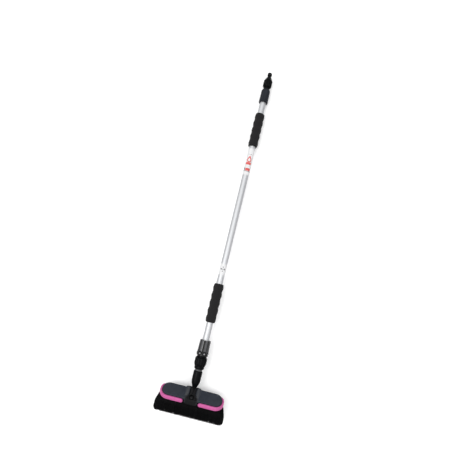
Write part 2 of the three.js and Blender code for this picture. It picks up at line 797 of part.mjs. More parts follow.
function addBrushNeck(pole) {
  piece(pole, 'brush_neck', brushNeck(), BLACK_PLASTIC);
  piece(pole, 'neck_seal', neckSeal(), SEAL_RUBBER);
  piece(pole, 'neck_ring', neckRing(), RING_PLASTIC);
  piece(pole, 'hub_o_ring', hubORing(), SEAL_RUBBER);
}

function addBrushHead(pole) {
  const head = new THREE.Group();
  head.rotation.x = HEAD_LEAN - Math.PI / 2;
  head.position.y = HEAD_STATION;
  pole.add(head);
  piece(head, 'top_cover', topCover(), SLATE_PLASTIC);
  piece(head, 'hub_screw', hubScrew(), STEEL);
  piece(head, 'brush_block', brushBlock(), BLACK_PLASTIC);
  piece(head, 'chamber_seal', chamberSeal(), SEAL_RUBBER);
  BLOCK_SCREWS.forEach((place, i) => piece(head, `block_screw_${i + 1}`, blockScrew(place), STEEL));
  piece(head, 'left_bumper', bumper(-1), BUMPER_RUBBER);
  piece(head, 'right_bumper', bumper(1), BUMPER_RUBBER);
  piece(head, 'bristles', bristles(), BRISTLE_FIBRE);
}

// The angle at which the pole lies when the bell of the adaptor and the rear bristle tips both touch
// the ground
function restingTilt() {
  const rear = (COVER_REAR + COVER_FRONT + BRISTLE_DEPTH) / 2;
  const tipStation = HEAD_STATION + rear * Math.sin(HEAD_LEAN) + BRISTLE_TIP * Math.cos(HEAD_LEAN);
  const tipHeight = BRISTLE_TIP * Math.sin(HEAD_LEAN) - rear * Math.cos(HEAD_LEAN);
  return Math.atan2(-BELL_RADIUS - tipHeight, BELL_SHOULDER - tipStation);
}

function assemble() {
  const pole = new THREE.Group();
  addHoseEnd(pole);
  addOuterSection(pole);
  addTwistLock(pole);
  addInnerSection(pole);
  addBrushNeck(pole);
  addBrushHead(pole);
  pole.rotation.x = -restingTilt();

  const brush = new THREE.Group();
  brush.add(pole);
  brush.updateMatrixWorld(true);
  const bounds = new THREE.Box3().setFromObject(brush, true);
  const middle = bounds.getCenter(new THREE.Vector3());
  pole.position.set(-middle.x, -middle.y, -bounds.min.z);
  brush.updateMatrixWorld(true);
  return brush;
}

export default assemble();
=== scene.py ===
"""A water-fed telescopic washing brush as it lies on a pale studio floor.

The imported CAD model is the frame. Each piece that shows is made here in finer detail, in the place of
its CAD node, and the hidden pieces keep their CAD shape with a better material. Shapes are drawn in
millimetres in one of two local frames: the pole's, with Y along the pole's axis (its stations) and Z up
out of the pole, and the head's, with X across, Y to the rear and Z up out of the cover.
"""

import json
import random
from itertools import product
from math import ceil, copysign, cos, exp, hypot, pi, radians, sin, sqrt, tan

import bmesh
import bpy
import numpy as np
from mathutils import Matrix, Vector


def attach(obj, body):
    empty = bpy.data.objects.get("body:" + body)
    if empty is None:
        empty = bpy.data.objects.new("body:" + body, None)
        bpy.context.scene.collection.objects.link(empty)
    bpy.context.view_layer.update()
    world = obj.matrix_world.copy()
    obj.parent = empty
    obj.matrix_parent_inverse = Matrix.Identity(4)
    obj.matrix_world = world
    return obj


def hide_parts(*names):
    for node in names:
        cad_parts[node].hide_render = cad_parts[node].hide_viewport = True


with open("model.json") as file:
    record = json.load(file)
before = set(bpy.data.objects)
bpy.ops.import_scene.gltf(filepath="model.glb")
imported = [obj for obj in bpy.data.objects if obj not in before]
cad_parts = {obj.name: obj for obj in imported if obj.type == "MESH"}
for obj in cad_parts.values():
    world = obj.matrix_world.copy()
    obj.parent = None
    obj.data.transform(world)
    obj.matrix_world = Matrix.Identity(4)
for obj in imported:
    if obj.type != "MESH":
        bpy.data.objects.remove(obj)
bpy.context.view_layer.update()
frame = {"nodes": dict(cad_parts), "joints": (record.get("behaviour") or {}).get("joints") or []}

MM = 0.001
GAP = 0.3

# ---- the two local frames ----

COLLAR_PIVOT_STATION = -400
HEAD_STATION = -528.5
HEAD_LEAN = radians(30)


def pole_frame():
    """The pole's frame in the row frame, from the joint that turns the lock collar."""
    pivot = next(joint for joint in frame["joints"] if joint["name"] == "collar_turn")
    along = Vector(pivot["axis"]).normalized()
    across = Vector((1, 0, 0))
    matrix = Matrix((across, along, across.cross(along))).transposed().to_4x4()
    matrix.translation = Vector(pivot["pos_m"]) - along * COLLAR_PIVOT_STATION * MM
    return matrix


POLE = pole_frame()
HEAD = POLE @ Matrix.Translation((0, HEAD_STATION * MM, 0)) @ Matrix.Rotation(HEAD_LEAN - pi / 2, 4, "X")


def places_in(local_frame, node):
    """The vertices of a CAD node in a local frame, in millimetres."""
    to_local = local_frame.inverted()
    return np.array([to_local @ vertex.co / MM for vertex in frame["nodes"][node].data.vertices])


def span(node):
    """Bottom station, top station and outer radius of a CAD node, in millimetres about the pole's axis."""
    x, y, z = places_in(POLE, node).T
    return float(y.min()), float(y.max()), float(np.hypot(x, z).max())


def head_box(node):
    """Lowest and highest corner of a CAD node in the head's frame, in millimetres."""
    places = places_in(HEAD, node)
    return places.min(0), places.max(0)


# ---- materials ----


def worked_out(operation):
    """The method of Value that stands for an operation of the math node."""
    return lambda value, other=0.0: value.nodes.math(operation, value, other)


class Value:
    """A number that varies from point to point: a node's output. Arithmetic with it makes more nodes."""

    def __init__(self, nodes, socket):
        self.nodes = nodes
        self.socket = socket

    __abs__ = worked_out("ABSOLUTE")
    __add__ = worked_out("ADD")
    __gt__ = worked_out("GREATER_THAN")
    __lt__ = worked_out("LESS_THAN")
    __mul__ = worked_out("MULTIPLY")
    __or__ = worked_out("MAXIMUM")
    __pow__ = worked_out("POWER")
    __round__ = worked_out("ROUND")
    __sub__ = worked_out("SUBTRACT")
    __truediv__ = worked_out("DIVIDE")
    angle_from = worked_out("ARCTAN2")
    root = worked_out("SQRT")


class Nodes:
    """The nodes of a material or a world."""

    def __init__(self, tree):
        self.tree = tree

    def put(self, socket, value):
        """Sets a socket to a number, or links it to a value or to another node's output."""
        source = value.socket if isinstance(value, Value) else value
        if isinstance(source, bpy.types.NodeSocket):
            self.tree.links.new(source, socket)
        else:
            socket.default_value = source

    def node(self, kind, inputs=(), **settings):
        """A new node's outputs, with pairs of an input's name or number and what goes into it."""
        made = self.tree.nodes.new(kind)
        for setting, value in settings.items():
            setattr(made, setting, value)
        for name, value in inputs:
            self.put(made.inputs[name], value)
        return made.outputs

    def coordinates(self, kind="Object"):
        """The X, Y and Z of each point, or of each direction in a world."""
        place = self.node("ShaderNodeTexCoord")[kind]
        return [Value(self, output) for output in self.node("ShaderNodeSeparateXYZ", [(0, place)])]

    def math(self, operation, first, second=0.0):
        return Value(self, self.node("ShaderNodeMath", [(0, first), (1, second)], operation=operation)[0])

    def tones(self, value, *stops):
        """A colour from a value, through stops of (position, colour)."""
        colour = self.node("ShaderNodeValToRGB", [("Fac", value)])["Color"]
        elements = colour.node.color_ramp.elements
        while len(elements) < len(stops):
            elements.new(1.0)
        for element, (position, tint) in zip(elements, stops):
            element.position = position
            element.color = (*tint, 1.0)
        return colour

    def mixed(self, share, first, second):
        """One colour, or the other where share is 1."""
        ends = [end if isinstance(end, bpy.types.NodeSocket) else (*end, 1.0) for end in (first, second)]
        return self.node("ShaderNodeMix", [(0, share), (6, ends[0]), (7, ends[1])], data_type="RGBA")[2]


class Look(Nodes):
    """A material on object coordinates, which are metres in the piece's local frame."""

    def __init__(self, name, **sockets):
        self.material = bpy.data.materials.new(name)
        self.material["slot"] = name
        self.material.use_nodes = True
        super().__init__(self.material.node_tree)
        self.shader = self.tree.nodes["Principled BSDF"]
        self.place = self.node("ShaderNodeTexCoord")["Object"]
        for socket, value in sockets.items():
            self.shader.inputs[socket.replace("_", " ")].default_value = value

    def noise(self, scale, stretch=(1, 1, 1), detail=4.0):
        """Noise from 0 to 1, with about scale features to the metre, times a factor for each axis."""
        place = self.node("ShaderNodeVectorMath", [(0, self.place), (1, stretch)], operation="MULTIPLY")[0]
        inputs = [("Vector", place), ("Scale", scale), ("Detail", detail), ("Roughness", 0.55)]
        return Value(self, self.node("ShaderNodeTexNoise", inputs)["Fac"])

    def cells(self, scale):
        """Distance to the nearest of scattered points, with about scale cells to the metre."""
        inputs = [("Vector", self.place), ("Scale", scale)]
        return Value(self, self.node("ShaderNodeTexVoronoi", inputs)["Distance"])

    def spread(self, value, low, high, from_low=0.3, from_high=0.7):
        """Maps a range of a value, by default its middle, to the range from low to high."""
        ends = [("From Min", from_low), ("From Max", from_high), ("To Min", low), ("To Max", high)]
        return Value(self, self.node("ShaderNodeMapRange", [("Value", value), *ends])["Result"])

    def bump(self, height, strength, depth, below=()):
        """Relief of a depth in millimetres, laid over another relief."""
        inputs = [("Strength", strength), ("Distance", depth * MM), ("Height", height)]
        if below:
            inputs.append(("Normal", below))
        return self.node("ShaderNodeBump", inputs)["Normal"]

    def finish(self, colour, roughness, relief):
        for name, value in (("Base Color", colour), ("Roughness", roughness), ("Normal", relief)):
            self.put(self.shader.inputs[name], value)
        return self.material


def darker(colour, share):
    return tuple(channel * share for channel in colour)


def worn_edges(look, colour, worn, amount):
    """A colour that lightens along the convex edges, where hands and walls rub it."""
    edges = look.node("ShaderNodeNewGeometry")["Pointiness"]
    rubbed = look.spread(edges, 0.0, amount, 0.53, 0.6)
    return look.mixed(rubbed * look.spread(look.noise(260), 0.2, 1.0), colour, worn)


def moulded_plastic(name, colour, shine, grain, **sockets):
    """Moulded plastic: faint mottling, uneven shine, a fine grain and rubbed edges."""
    look = Look(name, **sockets)
    return look.finish(mottled(look, colour), *moulded_skin(look, shine, grain))


def mottled(look, colour):
    """A colour with faint mottling and rubbed edges."""
    mottle = look.tones(look.noise(45), (0.3, darker(colour, 0.86)), (0.7, darker(colour, 1.14)))
    return worn_edges(look, mottle, darker(colour, 2.2), 0.5)


def moulded_skin(look, shine, grain):
    """The uneven roughness of a moulding, and the relief of its fine grain."""
    roughness = look.spread(look.noise(120, detail=6.0), shine - 0.05, shine + 0.07)
    fine = look.bump(look.noise(2600), grain, 0.03)
    return roughness, look.bump(look.noise(90), 0.15, 0.12, below=fine)


def collar_plastic(name, ball_station):
    """The collar's glossy grey plastic, with painted shade black in its grooves and over its lower band round
    its balls, and a painted pale glint on each ball's crown.
    """
    look = Look(name, Specular_IOR_Level=0.35)
    x, y, z = look.coordinates()
    turns = (x.angle_from(z) - PANEL_PHASE) * (COLLAR_PANELS / (2 * pi))
    across = abs(turns - round(turns))
    height = y / MM - ball_station
    aside = across * (2 * pi * COLLAR_RIM_RADIUS / COLLAR_PANELS)
    from_ball = (aside ** 2 + height ** 2).root()
    # painted shade: the grooves between the panels and the lower band round the balls are painted black
    edge = look.spread(across, 0.0, 1.0, 0.19, 0.33)
    rim = look.spread(height, 1.0, 0.0, 5.0, 9.0)
    grey, black = mottled(look, (0.072, 0.073, 0.078)), mottled(look, (0.002, 0.002, 0.0024))
    panel_with_painted_shade = look.mixed(edge | rim, grey, black)
    # painted highlight: a pale grey disc on each ball's crown stands for its glint
    painted_glint = look.spread(from_ball, 1.0, 0.0, 1.6, 3.0)
    tint = look.mixed(painted_glint, panel_with_painted_shade, mottled(look, (0.28, 0.28, 0.29)))
    return look.finish(tint, *moulded_skin(look, 0.17, 0.12))


# the reach of the painted shade over the hub, in millimetres
HUB_SHADE_HALF_WIDTH = 20.0
HUB_SHADE_REACH = 46.0
HUB_SHADE_DEPTH = 19.0


def cover_plastic(name):
    """The cover's slate plastic, with painted shade black over the hub's front, round the screw, down the
    apron and in the channel between the cheeks, and a painted highlight of paler grey streaks on the cheeks."""
    look = Look(name, Specular_IOR_Level=0.2)
    x, y, _ = look.coordinates()
    across = abs(x / MM) / HUB_SHADE_HALF_WIDTH
    behind = (y / MM + HUB_SHADE_REACH | 0.0) / HUB_SHADE_DEPTH
    edge = across ** 2 + behind ** 2 + look.spread(look.noise(300), -0.08, 0.08)
    # painted shade: the hub's front, the screw's surround, the apron and the channel between the cheeks are
    # painted black
    hub = look.spread(edge, 1.0, 0.0, 0.65, 1.3)
    channel = look.spread(across, 1.0, 0.0, 0.42, 0.62)
    # painted highlight: paler grey streaks along both cheeks stand for a reflection of the light
    cheek = look.spread(abs(across - 0.86), 1.0, 0.0, 0.10, 0.34)
    rubbed = cheek * look.spread(look.noise(260, (1, 0.15, 0.3)), 0.35, 1.0)
    cover = look.mixed(rubbed, mottled(look, (0.022, 0.027, 0.038)), (0.056, 0.058, 0.062))
    tint = look.mixed(hub | channel, cover, mottled(look, (0.0025, 0.0028, 0.0035)))
    return look.finish(tint, *moulded_skin(look, 0.5, 0.45))


def drawn_aluminium(name):
    """Satin aluminium tube with fine lines along it, faint stains and a few handling marks."""
    look = Look(name, Metallic=1.0)
    lines = look.noise(1500, (1, 0.012, 1), detail=5.0)
    clouds = look.noise(16, (1, 0.4, 1))
    tint = look.tones(clouds, (0.3, (0.66, 0.67, 0.68)), (0.7, (0.70, 0.71, 0.72)))
    streaked = look.mixed(look.spread(lines, 0.0, 0.2), tint, (0.56, 0.57, 0.585))
    roughness = look.spread(lines, 0.50, 0.56)
    drawn = look.bump(lines, 0.12, 0.02)
    marks = look.bump(look.noise(420, (1, 3.0, 1)), 0.03, 0.03, below=drawn)
    return look.finish(streaked, roughness, marks)


def screw_metal(name, colour, low, high):
    """Screw metal with faint turning marks, and a roughness from low to high."""
    look = Look(name, Metallic=1.0)
    turning = look.noise(900)
    tint = look.tones(turning, (0.3, darker(colour, 0.85)), (0.7, darker(colour, 1.1)))
    return look.finish(tint, look.spread(turning, low, high), look.bump(turning, 0.3, 0.03))


def closed_cell_foam(name):
    """Black closed-cell foam: a skin of small cells, a little dusty on the crests."""
    look = Look(name, Sheen_Weight=0.05, Sheen_Roughness=0.5, Specular_IOR_Level=0.2)
    cells = look.cells(1150)
    patches = look.noise(60)
    tint = look.tones(cells, (0.05, (0.004, 0.004, 0.0044)), (0.55, (0.012, 0.0118, 0.0125)))
    dusty = look.mixed(look.spread(patches, 0.0, 0.35), tint, (0.018, 0.017, 0.0175))
    pits = look.bump(cells, 0.55, 0.22)
    lumps = look.bump(look.noise(260), 0.35, 0.3, below=pits)
    return look.finish(dusty, look.spread(patches, 0.82, 0.95), lumps)


def soft_rubber(name, colour, shine, **sockets):
    """Rubber: a fine dull skin, faintly blotched, with a paler bloom."""
    look = Look(name, **sockets)
    blotches = look.tones(look.noise(70), (0.3, darker(colour, 0.9)), (0.7, darker(colour, 1.08)))
    bloom = look.mixed(look.spread(look.noise(600), 0.0, 0.08), blotches, (0.75, 0.70, 0.72))
    roughness = look.spread(look.noise(180), shine - 0.05, shine + 0.06)
    skin = look.bump(look.noise(1800), 0.25, 0.04)
    waves = look.bump(look.noise(110), 0.12, 0.25, below=skin)
    return look.finish(bloom, roughness, waves)


def fibres(name):
    """Fine black fibres: each has its own tone, in the attribute "tone", and they pale to their tips."""
    look = Look(name, Specular_IOR_Level=0.06)
    tone = look.node("ShaderNodeAttribute", attribute_name="tone")["Fac"]
    streaks = look.noise(900, (1, 1, 0.03))
    root, shank, tip = (0.001, 0.001, 0.0012), (0.004, 0.004, 0.0044), (0.014, 0.0135, 0.014)
    tint = look.tones(look.spread(streaks, 0.5, 1.3) * tone, (0.0, root), (0.6, shank), (1.0, tip))
    return look.finish(tint, look.spread(streaks, 0.42, 0.62), look.bump(streaks, 0.5, 0.2))


# ---- printed labels ----

LABEL_RADIUS = 11.3
LABEL_THICKNESS = 0.2
RED_INK = (0.60, 0.06, 0.05)
DARK_INK = (0.03, 0.03, 0.035)

# stations of the middles of the drop's disc and of the lock marks
DROP_STATION = 258.0
LOCK_MARK_STATION = -137.0

# the info label's bars: lower and upper station, then left and right edge in millimetres round the tube
RED_BARS = (((240.5, 249.5), (-10.0, 10.0)), ((218.0, 227.5), (-7.0, 12.0)))
DARK_BARS = (((219.0, 229.0), (-13.0, -8.5)), ((215.4, 217.0), (-36.0, 36.0)), ((279.0, 279.9), (-8.0, 8.0)))


def around_and_along(look):
    """The print's coordinates on the tube in millimetres: round it from its upper side, and its station."""
    x, y, z = look.coordinates()
    return x.angle_from(z) * LABEL_RADIUS, y / MM


def within(value, low, high):
    """1 where the value is between low and high, and 0 elsewhere."""
    return (value > low) * (value < high)


def any_of(masks):
    """1 where any of several masks is 1."""
    highest, *others = masks
    for mask in others:
        highest |= mask
    return highest


def disc(around, along, station, radius):
    """A filled circle on the middle line of the print."""
    return (around ** 2 + (along - station) ** 2).root() < radius


def drop(around, along, radius):
    """A water drop: a disc with a point above it that stands two radii from the disc's middle."""
    above = along - DROP_STATION
    slope = abs(around) < (above - 2 * radius) * -tan(pi / 6)
    return disc(around, along, DROP_STATION, radius) | slope * (above > 0.5 * radius)


def bars(around, along, places):
    return any_of([within(along, *ends) * within(around, *sides) for ends, sides in places])


def film(look, print_mask, ink, second_mask=None, second_ink=None):
    """A satin label film with one or two printed inks."""
    clouds = look.noise(60)
    tint = look.tones(clouds, (0.3, (0.65, 0.655, 0.66)), (0.7, (0.70, 0.70, 0.705)))
    printed = look.mixed(print_mask * look.spread(look.noise(700), 0.88, 1.0), tint, ink)
    if second_mask is not None:
        printed = look.mixed(second_mask, printed, second_ink)
    creases = look.bump(look.noise(140, (1, 0.5, 1)), 0.25, 0.05)
    return look.finish(printed, look.spread(clouds, 0.34, 0.44), creases)


def info_print(name):
    """An outlined red water drop over a red bar, a second red bar below them, and dark bars and rules."""
    look = Look(name)
    around, along = around_and_along(look)
    outline = drop(around, along, 8.4) - drop(around, along, 4.6)
    red = outline | bars(around, along, RED_BARS)
    return film(look, red, RED_INK, bars(around, along, DARK_BARS), DARK_INK)


def lock_print(name):
    """Two arrows that point round the tube either way, with dots between, above and below them."""
    look = Look(name)
    around, along = around_and_along(look)
    height = abs(along - LOCK_MARK_STATION)
    side = abs(around)
    heads = (side + height * 1.1 < 9.0) * (side > 4.6)
    shafts = within(side, 2.6, 5.0) * (height < 1.1)
    dots = [disc(around, along, LOCK_MARK_STATION + rise, 1.7) for rise in (0.0, 7.0, -7.0)]
    return film(look, any_of([heads, shafts, *dots]), DARK_INK)


# ---- the materials ----

ALUMINIUM = drawn_aluminium("aluminium")
STEEL = screw_metal("screw_steel", (0.6, 0.6, 0.62), 0.22, 0.38)
DARK_STEEL = screw_metal("blackened_steel", (0.05, 0.05, 0.052), 0.25, 0.4)
BLACK = moulded_plastic("black_plastic", (0.0025, 0.0028, 0.0033), 0.30, 0.25, Specular_IOR_Level=0.07)
SLATE = moulded_plastic("slate_plastic", (0.010, 0.0125, 0.0175), 0.45, 0.45, Specular_IOR_Level=0.22)
COVER = cover_plastic("cover_plastic")
NATURAL = moulded_plastic("inner_plastic", (0.70, 0.66, 0.56), 0.45, 0.3)
RING = moulded_plastic("ring_plastic", (0.055, 0.055, 0.058), 0.4, 0.3, Specular_IOR_Level=0.3)
FOAM = closed_cell_foam("foam")
SEAL = soft_rubber("seal_rubber", (0.018, 0.018, 0.019), 0.7)
PINK = soft_rubber("bumper_rubber", (0.50, 0.073, 0.275), 0.46, Specular_IOR_Level=0.25)
BRISTLE = fibres("bristle_fibre")

# ---- shapes ----


def rounded(points, radius, steps=4):
    """A closed outline with each of its corners turned into a curve of about this radius."""
    result = []
    for i, point in enumerate(points):
        corner = Vector(point)
        before = Vector(points[i - 1]) - corner
        after = Vector(points[(i + 1) % len(points)]) - corner
        turn = before.angle(after)
        if turn > radians(176):
            result.append(corner)
            continue
        reach = min(radius / tan(turn / 2), 0.48 * before.length, 0.48 * after.length)
        start = corner + before.normalized() * reach
        end = corner + after.normalized() * reach
        for share in (step / steps for step in range(steps + 1)):
            result.append(start * (1 - share) ** 2 + corner * 2 * share * (1 - share) + end * share ** 2)
    return result


def arc(x, y, radius, first, last, step):
    """Points and outward directions round a middle, from the first to the last degree."""
    points = []
    for degree in range(first, last + 1, step):
        across, up = cos(radians(degree)), sin(radians(degree))
        points.append(((x + radius * across, y + radius * up), (across, up)))
    return points


def refined(points, step):
    """The same closed outline with no edge longer than step."""
    result = []
    for i, point in enumerate(points):
        after = Vector(points[(i + 1) % len(points)])
        count = max(1, ceil((after - Vector(point)).length / step))
        result += [Vector(point).lerp(after, k / count) for k in range(count)]
    return result


def ring_faces(rows, count, closed=True):
    """Quads between rows of count vertices each. Each row closes on itself, and so may the rows."""
    faces = []
    for row in range(rows if closed else rows - 1):
        this, following = row * count, (row + 1) % rows * count
        for i in range(count):
            after = (i + 1) % count
            faces.append((this + i, this + after, following + after, following + i))
    return faces


def lidded(rows, count):
    """Quads between rows that don't close on each other, and a lid on the first and the last row."""
    last = (rows - 1) * count
    lids = [tuple(range(count)), tuple(last + i for i in reversed(range(count)))]
    return ring_faces(rows, count, closed=False) + lids


def turned(outline, sides=72, form=None):
    """A solid turned about Y from a closed outline of (radius, station) points. form may change the
    radius with the angle, which is 0 on the upper side."""
    vertices = []
    for side in range(sides):
        angle = 2 * pi * side / sides
        for radius, station in outline:
            reach = form(angle, radius, station) if form else radius
            vertices.append((reach * sin(angle), station, reach * cos(angle)))
    return vertices, ring_faces(sides, len(outline))


def linked(name, data):
    """An object in the scene, from a mesh, a light or a lens."""
    made = bpy.data.objects.new(name, data)
    bpy.context.scene.collection.objects.link(made)
    return made


def handed_over(name, mesh, look, body, nodes, place):
    mesh.shade_smooth()
    mesh.materials.append(look)
    made = linked(name, mesh)
    made.matrix_world = place
    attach(made, body)
    if nodes:
        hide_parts(*nodes)
    return made


def piece(name, shape, look, body, nodes=(), place=POLE):
    vertices, faces = shape
    mesh = bpy.data.meshes.new(name)
    mesh.from_pydata((np.asarray(vertices, float) * MM).tolist(), [], faces)
    work = bmesh.new()
    work.from_mesh(mesh)
    bmesh.ops.remove_doubles(work, verts=work.verts, dist=0.002 * MM)
    bmesh.ops.recalc_face_normals(work, faces=work.faces)
    work.to_mesh(mesh)
    work.free()
    return handed_over(name, mesh, look, body, nodes, place)


def even_normals(made, sharp=40):
    """Shades flat stretches flat and curved ones smooth, and keeps the sharp edges."""
    made.data.set_sharp_from_angle(angle=radians(sharp))
    made.modifiers.new("even normals", "WEIGHTED_NORMAL").keep_sharp = True
    return made


def eased(share):
    """A share held between 0 and 1, with a soft start and a soft end."""
    share = min(max(share, 0.0), 1.0)
    return share * share * (3 - 2 * share)


def window(value, low, high, soft):
    """1 between low and high, falling smoothly to 0 outside them over a width."""
    return eased((value - low) / soft + 0.5) * eased((high - value) / soft + 0.5)


def valley(angle, reach, count, phase, width):
    """1 in the middle of each of count valleys round a solid, falling to 0 beside it over about a width."""
    return exp(-(from_nearest(angle, count, phase) * reach / width) ** 2)


def from_nearest(angle, count, phase):
    """Angle from the nearest of count directions, evenly spaced from phase."""
    step = 2 * pi / count
    return (angle - phase + step / 2) % step - step / 2


def tube(bore, radius, bottom, top, edge=0.25, steps=4):
    return turned(rounded([(bore, bottom), (radius, bottom), (radius, top), (bore, top)], edge, steps), 96)


# ---- hose end ----

_, TUBE_TOP, TUBE_RADIUS = span("outer_tube")
_, _, INNER_TUBE_RADIUS = span("inner_tube")
INNER_TUBE_WALL = 0.9
TUBE_WALL = 1.0
THREAD_RADIUS = 10.6
THREAD_ROOT = 9.6
THREAD_PITCH = 3.0
NOSE_NECK_RADIUS = 6.2
NOSE_RADIUS = 7.9
WATER_BORE = 4.0
SPIGOT_BORE = 6.0
BELL_LOBES = 8
SLEEVE_FLUTES = 10


def hose_adaptor():
    bottom, tip, radius = span("hose_adaptor")
    _, spigot_top, _ = span("end_spigot")
    shoulder = bottom + 23
    groove = tip - 7
    socket_top = spigot_top + 2.6
    bore = THREAD_RADIUS + GAP
    outline = [
        (radius - 2.8, bottom), (radius, bottom + 5), (radius, shoulder), (radius - 1.2, shoulder + 3.5),
        (NOSE_NECK_RADIUS + 1.4, tip - 17), (NOSE_NECK_RADIUS, tip - 15), (NOSE_NECK_RADIUS, tip - 13),
        (NOSE_RADIUS, tip - 9.5), (NOSE_RADIUS, groove), (NOSE_NECK_RADIUS, groove),
        (NOSE_NECK_RADIUS, groove + 2.6), (NOSE_RADIUS, groove + 2.6), (NOSE_RADIUS, tip - 2),
        (NOSE_RADIUS - 0.8, tip), (WATER_BORE, tip), (WATER_BORE, socket_top), (bore, socket_top),
        (bore, bottom),
    ]

    def lobes(angle, reach, station):
        if reach < bore + 0.5:
            return reach
        between = valley(angle, reach, BELL_LOBES, 0.0, 2.3)
        return reach - 1.5 * between * window(station, bottom + 2, shoulder + 3, 5)

    shape = turned(refined(rounded(outline, 0.8), 1.5), 192, lobes)
    even_normals(piece("hose_adaptor_body", shape, BLACK, "hose_adaptor", ["hose_adaptor"]))


def nose_seal():
    bottom, top, radius = span("nose_o_ring")
    middle, section = (bottom + top) / 2, (top - bottom) / 2
    steps = [2 * pi * i / 16 for i in range(16)]
    outline = [(radius - section + section * cos(t), middle + section * sin(t)) for t in steps]
    piece("nose_seal_ring", turned(outline, 64), SEAL, "hose_adaptor", ["nose_o_ring"])


def end_spigot():
    bottom, top, radius = span("end_spigot")
    bell_bottom, _, _ = span("hose_adaptor")
    plug = radius - TUBE_WALL - GAP
    groove = TUBE_TOP - 12
    outline = [
        (SPIGOT_BORE, bottom), (plug, bottom), (plug, groove), (plug - 1.5, groove),
        (plug - 1.5, groove + 2.8), (plug, groove + 2.8), (plug, TUBE_TOP + GAP), (radius, TUBE_TOP + GAP),
        (radius, TUBE_TOP + 6), (THREAD_RADIUS, TUBE_TOP + 6), (THREAD_RADIUS, top), (SPIGOT_BORE, top),
    ]

    def thread(angle, reach, station):
        if reach < THREAD_ROOT or not bell_bottom + 1 < station < top - 0.5:
            return reach
        turn = (station / THREAD_PITCH - angle / (2 * pi)) % 1
        return THREAD_ROOT + (THREAD_RADIUS - THREAD_ROOT) * window(turn, 0.3, 0.7, 0.35)

    shape = turned(refined(rounded(outline, 0.4, 2), 0.5), 72, thread)
    piece("threaded_end_spigot", shape, BLACK, "outer_pole", ["end_spigot"])


def end_sleeve():
    """The fluted sleeve. It stops short of its CAD node, so that the dark neck behind it shows."""
    bottom, cad_top, radius = span("end_sleeve")
    top = cad_top - 3
    bore = TUBE_RADIUS + GAP
    neck_bore = THREAD_RADIUS + GAP
    step = TUBE_TOP + 6 + GAP
    outline = [
        (bore, bottom), (radius - 0.9, bottom), (radius, bottom + 2), (radius - 0.5, top - 6),
        (radius - 3.9, top), (neck_bore, top), (neck_bore, step), (bore, step),
    ]

    def flutes(angle, reach, station):
        if reach < bore + 1:
            return reach
        flute = valley(angle, reach, SLEEVE_FLUTES, 0.0, 3.1)
        return reach - 1.15 * flute * window(station, bottom + 5, top - 8, 5)

    shape = turned(refined(rounded(outline, 0.9), 2.0), 200, flutes)
    even_normals(piece("fluted_end_sleeve", shape, SLATE, "outer_pole", ["end_sleeve"]))


# ---- tubes, grips and labels ----


def tubes():
    for node, body, wall in (
        ("outer_tube", "outer_pole", TUBE_WALL), ("inner_tube", "inner_pole", INNER_TUBE_WALL),
    ):
        bottom, top, radius = span(node)
        shape = tube(radius - wall, radius, bottom, top)
        even_normals(piece(f"{node}_drawn", shape, ALUMINIUM, body, [node]))


GRIP_RINGS = 5
GRIP_WAVE = 0.85


def foam_grip(node, name, seed):
    """A foam sleeve with finger rings, soft rounded ends and the small lumps that foam has."""
    bottom, top, crest = span(node)
    mean = crest - GRIP_WAVE
    end = 4.0
    length = top - bottom
    steps = 90
    inner = TUBE_RADIUS + 0.2
    outline = [(inner, bottom), *((0, bottom + length * i / steps) for i in range(steps + 1)), (inner, top)]
    draw = random.Random(seed)
    lumps = [(draw.uniform(0, 2 * pi), draw.uniform(0.05, 0.3), draw.randint(2, 5)) for _ in range(6)]

    def foam(angle, reach, station):
        if reach == inner:
            return reach
        share = (station - bottom) / length
        near_end = min(station - bottom, top - station)
        swell = mean - GRIP_WAVE * cos(2 * pi * GRIP_RINGS * share)
        uneven = sum(sin(turns * angle + rate * station + start) for start, rate, turns in lumps)
        rounding = 3.2 * (1 - sqrt(max(0.0, 1 - (1 - min(near_end / end, 1)) ** 2)))
        return swell + 0.045 * uneven - rounding

    shape = turned([Vector(p) for p in outline], 96, foam)
    made = piece(name, shape, FOAM, "outer_pole", [node])


def labels():
    looks = {"info_label": info_print("label_info_print"), "lock_label": lock_print("label_lock_print")}
    for node, look in looks.items():
        bottom, top, radius = span(node)
        shape = tube(radius - LABEL_THICKNESS, radius, bottom, top, 0.08, 2)
        even_normals(piece(f"{node}_film", shape, look, "outer_pole", [node]))


# ---- twist lock and coupling ----

COLLAR_PANELS = 8
PANEL_PHASE = radians(20)
COLLAR_RIM_RADIUS = 18.6
COLLAR_TOP_RADIUS = 17.9
COLLAR_CAVITY = 14.6
BALL_RADIUS = 4.4
BALL_STANDS_OUT = 2.7


